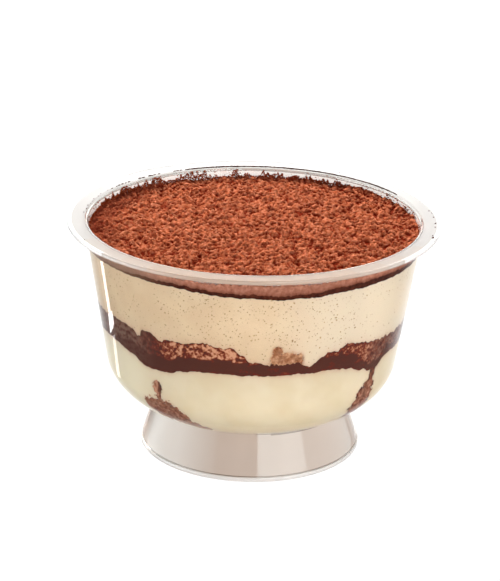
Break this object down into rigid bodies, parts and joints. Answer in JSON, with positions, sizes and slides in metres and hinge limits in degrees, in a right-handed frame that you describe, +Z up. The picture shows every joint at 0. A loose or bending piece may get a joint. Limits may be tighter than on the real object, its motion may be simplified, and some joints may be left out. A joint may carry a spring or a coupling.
{
  "type": "tiramisu",
  "caption": "Layered tiramisu of vanilla cream, coffee-soaked sponge and cocoa in a clear plastic footed dessert cup.",
  "frame": {"origin": "centre of the foot's underside, on the surface that the cup stands on", "axes": "+Z up along the cup's axis, out of its mouth; -Y towards the side shown to the front"},
  "size_m": [0.095, 0.095, 0.061],
  "materials": {
    "clear_plastic": "clear moulded polystyrene, glossy",
    "plain_cream": "smooth mascarpone cream, satin",
    "vanilla_cream": "vanilla cream with fine specks, satin",
    "soaked_sponge": "coffee-soaked sponge, moist",
    "loose_sponge": "coffee-stained sponge crumb, rough",
    "dry_sponge": "barely soaked sponge crumb, rough",
    "damp_cocoa": "cocoa wetted by the cream, satin",
    "dry_cocoa": "sieved dry cocoa, powdery"
  },
  "bodies": {
    "root": {"cup": "clear_plastic", "cream_lower": "plain_cream", "sponge": "soaked_sponge", "sponge_streak": "loose_sponge", "sponge_scrap": "loose_sponge", "sponge_crumb": "dry_sponge", "cream_upper": "vanilla_cream", "cocoa_damp": "damp_cocoa", "cocoa_dust": "dry_cocoa"}
  },
  "joints": []
}
